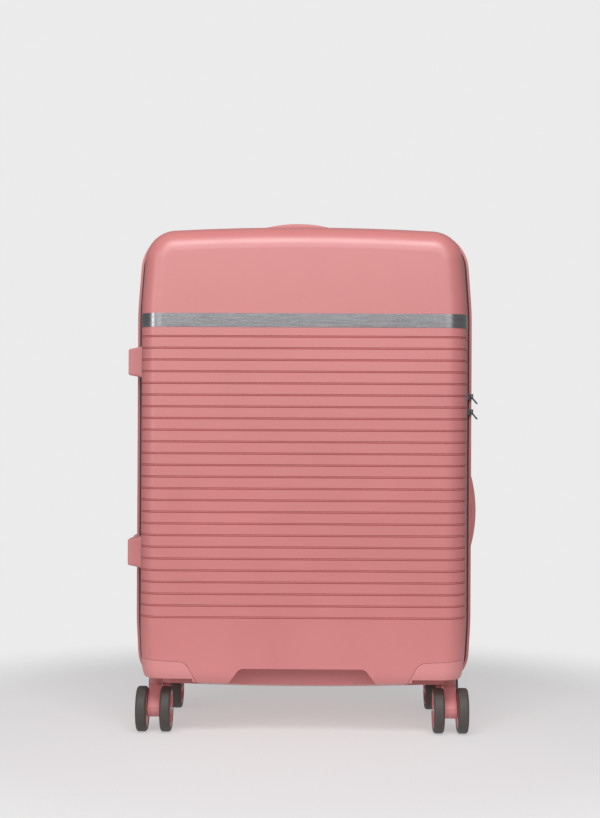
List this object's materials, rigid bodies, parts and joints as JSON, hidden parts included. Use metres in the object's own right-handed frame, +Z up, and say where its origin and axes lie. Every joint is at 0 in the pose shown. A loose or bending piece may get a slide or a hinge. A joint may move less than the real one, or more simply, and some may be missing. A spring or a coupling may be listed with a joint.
{
  "type": "hard shell suitcase",
  "caption": "Hard shell suitcase standing on spinner casters, with grooved halves that open on a hinge, carry handles and a telescopic trolley handle.",
  "frame": {"origin": "on the floor under the middle of the standing case", "axes": "+X to the right seen from the front, +Y from the front face to the back, +Z up"},
  "size_m": [0.4535, 0.2705, 0.6485],
  "materials": {
    "shell_pink": "satin moulded polypropylene with a fine orange peel",
    "trim_steel": "brushed along its length",
    "fitting_pink": "satin moulded plastic",
    "handle_pink": "soft touch moulded grip",
    "tyre_grey": "matte dark grey polyurethane",
    "axle_steel": "bright zinc",
    "tube_aluminium": "satin anodised",
    "trolley_dark": "fine grained",
    "zip_fabric": "woven tape with a nylon coil",
    "pull_metal": "dark polished metal",
    "lock_dark": "satin",
    "dial_white": "satin",
    "lining_fabric": "woven polyester",
    "strap_webbing": "woven webbing",
    "buckle_plastic": "fine grained"
  },
  "bodies": {
    "rear_case": {"rear_shell": "shell_pink", "zip_half_rear": "zip_fabric", "hinge_gusset": "zip_fabric", "caster_housings_rear": "fitting_pink", "side_feet_rear": "fitting_pink", "handle_mounts": "fitting_pink", "trolley_bezel": "fitting_pink", "trolley_outer_tubes": "tube_aluminium", "trolley_foot_bracket": "trolley_dark", "lock_case": "lock_dark", "rear_lining": "lining_fabric", "cross_straps": "strap_webbing", "strap_buckle": "buckle_plastic"},
    "front_case": {"front_shell": "shell_pink", "trim_strip": "trim_steel", "zip_half_front": "zip_fabric", "caster_housings_front": "fitting_pink", "side_feet_front": "fitting_pink", "front_lining": "lining_fabric"},
    "divider": {"divider_panel": "lining_fabric"},
    "trolley_middle": {"trolley_middle_tubes": "tube_aluminium"},
    "trolley_inner": {"trolley_inner_tubes": "tube_aluminium", "trolley_grip": "fitting_pink"},
    "trolley_button": {"trolley_button": "trolley_dark"},
    "top_handle": {"top_handle": "handle_pink"},
    "side_handle": {"side_handle": "handle_pink"},
    "zip_slider_upper": {"zip_slider_upper": "pull_metal"},
    "zip_slider_lower": {"zip_slider_lower": "pull_metal"},
    "zip_pull_upper": {"zip_pull_upper": "pull_metal"},
    "zip_pull_lower": {"zip_pull_lower": "pull_metal"},
    "lock_button": {"lock_button": "lock_dark"},
    "lock_key_plug": {"lock_key_plug": "axle_steel"},
    "lock_dial_1": {"lock_dial_1": "dial_white"},
    "lock_dial_2": {"lock_dial_2": "dial_white"},
    "lock_dial_3": {"lock_dial_3": "dial_white"},
    "caster_fl": {"fork_fl": "fitting_pink", "axle_fl": "axle_steel"},
    "wheel_fl_a": {"tyre_fl_a": "tyre_grey", "hub_fl_a": "fitting_pink"},
    "wheel_fl_b": {"tyre_fl_b": "tyre_grey", "hub_fl_b": "fitting_pink"},
    "caster_fr": {"fork_fr": "fitting_pink", "axle_fr": "axle_steel"},
    "wheel_fr_a": {"tyre_fr_a": "tyre_grey", "hub_fr_a": "fitting_pink"},
    "wheel_fr_b": {"tyre_fr_b": "tyre_grey", "hub_fr_b": "fitting_pink"},
    "caster_rl": {"fork_rl": "fitting_pink", "axle_rl": "axle_steel"},
    "wheel_rl_a": {"tyre_rl_a": "tyre_grey", "hub_rl_a": "fitting_pink"},
    "wheel_rl_b": {"tyre_rl_b": "tyre_grey", "hub_rl_b": "fitting_pink"},
    "caster_rr": {"fork_rr": "fitting_pink", "axle_rr": "axle_steel"},
    "wheel_rr_a": {"tyre_rr_a": "tyre_grey", "hub_rr_a": "fitting_pink"},
    "wheel_rr_b": {"tyre_rr_b": "tyre_grey", "hub_rr_b": "fitting_pink"}
  },
  "joints": [
    {"name": "front_case_hinge", "type": "hinge", "parent": "rear_case", "child": "front_case", "pos_m": [-0.2265, 0, 0.3405], "axis": [0, 0, -1], "range_deg": [0, 180]},
    {"name": "divider_hinge", "type": "hinge", "parent": "rear_case", "child": "divider", "pos_m": [-0.2265, 0, 0.3405], "axis": [0, 0, -1], "range_deg": [0, 90]},
    {"name": "trolley_middle_slide", "type": "slide", "parent": "rear_case", "child": "trolley_middle", "axis": [0, 0, 1], "range_m": [0, 0.2]},
    {"name": "trolley_inner_slide", "type": "slide", "parent": "trolley_middle", "child": "trolley_inner", "axis": [0, 0, 1], "range_m": [0, 0.2]},
    {"name": "trolley_button_slide", "type": "slide", "parent": "trolley_inner", "child": "trolley_button", "axis": [0, 0, -1], "range_m": [0, 0.003], "stiffness_N_per_m": 400},
    {"name": "top_handle_slide", "type": "slide", "parent": "rear_case", "child": "top_handle", "axis": [0, 0, 1], "range_m": [0, 0.015], "stiffness_N_per_m": 150},
    {"name": "side_handle_slide", "type": "slide", "parent": "rear_case", "child": "side_handle", "axis": [1, 0, 0], "range_m": [0, 0.015], "stiffness_N_per_m": 150},
    {"name": "zip_slider_upper_slide", "type": "slide", "parent": "rear_case", "child": "zip_slider_upper", "axis": [0, 0, 1], "range_m": [0, 0.09]},
    {"name": "zip_slider_lower_slide", "type": "slide", "parent": "rear_case", "child": "zip_slider_lower", "axis": [0, 0, -1], "range_m": [0, 0.25]},
    {"name": "zip_pull_upper_hinge", "type": "hinge", "parent": "zip_slider_upper", "child": "zip_pull_upper", "pos_m": [0.2183, 0, 0.42], "axis": [0, -1, 0], "range_deg": [-38, 138]},
    {"name": "zip_pull_lower_hinge", "type": "hinge", "parent": "zip_slider_lower", "child": "zip_pull_lower", "pos_m": [0.2183, 0, 0.4], "axis": [0, -1, 0], "range_deg": [-38, 138]},
    {"name": "lock_button_slide", "type": "slide", "parent": "rear_case", "child": "lock_button", "axis": [-1, 0, 0], "range_m": [0, 0.0025], "stiffness_N_per_m": 300},
    {"name": "lock_key_hinge", "type": "hinge", "parent": "rear_case", "child": "lock_key_plug", "pos_m": [0.21093, 0.03, 0.432], "axis": [-1, 0, 0], "range_deg": [0, 90]},
    {"name": "lock_dial_1_hinge", "type": "hinge", "parent": "rear_case", "child": "lock_dial_1", "pos_m": [0.21033, 0.03, 0.383], "axis": [0, 0, 1], "continuous": true},
    {"name": "lock_dial_2_hinge", "type": "hinge", "parent": "rear_case", "child": "lock_dial_2", "pos_m": [0.21033, 0.03, 0.392], "axis": [0, 0, 1], "continuous": true},
    {"name": "lock_dial_3_hinge", "type": "hinge", "parent": "rear_case", "child": "lock_dial_3", "pos_m": [0.21033, 0.03, 0.401], "axis": [0, 0, 1], "continuous": true},
    {"name": "caster_fl_swivel", "type": "hinge", "parent": "front_case", "child": "caster_fl", "pos_m": [-0.1845, -0.08, 0.07], "axis": [0, 0, 1], "continuous": true},
    {"name": "wheel_fl_a_spin", "type": "hinge", "parent": "caster_fl", "child": "wheel_fl_a", "pos_m": [-0.20025, -0.1, 0.028], "axis": [1, 0, 0], "continuous": true},
    {"name": "wheel_fl_b_spin", "type": "hinge", "parent": "caster_fl", "child": "wheel_fl_b", "pos_m": [-0.16875, -0.1, 0.028], "axis": [1, 0, 0], "continuous": true},
    {"name": "caster_fr_swivel", "type": "hinge", "parent": "front_case", "child": "caster_fr", "pos_m": [0.1845, -0.08, 0.07], "axis": [0, 0, 1], "continuous": true},
    {"name": "wheel_fr_a_spin", "type": "hinge", "parent": "caster_fr", "child": "wheel_fr_a", "pos_m": [0.16875, -0.1, 0.028], "axis": [1, 0, 0], "continuous": true},
    {"name": "wheel_fr_b_spin", "type": "hinge", "parent": "caster_fr", "child": "wheel_fr_b", "pos_m": [0.20025, -0.1, 0.028], "axis": [1, 0, 0], "continuous": true},
    {"name": "caster_rl_swivel", "type": "hinge", "parent": "rear_case", "child": "caster_rl", "pos_m": [-0.1845, 0.08, 0.07], "axis": [0, 0, 1], "continuous": true},
    {"name": "wheel_rl_a_spin", "type": "hinge", "parent": "caster_rl", "child": "wheel_rl_a", "pos_m": [-0.20025, 0.06, 0.028], "axis": [1, 0, 0], "continuous": true},
    {"name": "wheel_rl_b_spin", "type": "hinge", "parent": "caster_rl", "child": "wheel_rl_b", "pos_m": [-0.16875, 0.06, 0.028], "axis": [1, 0, 0], "continuous": true},
    {"name": "caster_rr_swivel", "type": "hinge", "parent": "rear_case", "child": "caster_rr", "pos_m": [0.1845, 0.08, 0.07], "axis": [0, 0, 1], "continuous": true},
    {"name": "wheel_rr_a_spin", "type": "hinge", "parent": "caster_rr", "child": "wheel_rr_a", "pos_m": [0.16875, 0.06, 0.028], "axis": [1, 0, 0], "continuous": true},
    {"name": "wheel_rr_b_spin", "type": "hinge", "parent": "caster_rr", "child": "wheel_rr_b", "pos_m": [0.20025, 0.06, 0.028], "axis": [1, 0, 0], "continuous": true}
  ],
  "couplings": [
    {"joint": "divider_hinge", "follows": "front_case_hinge", "ratio": 0.5}
  ]
}
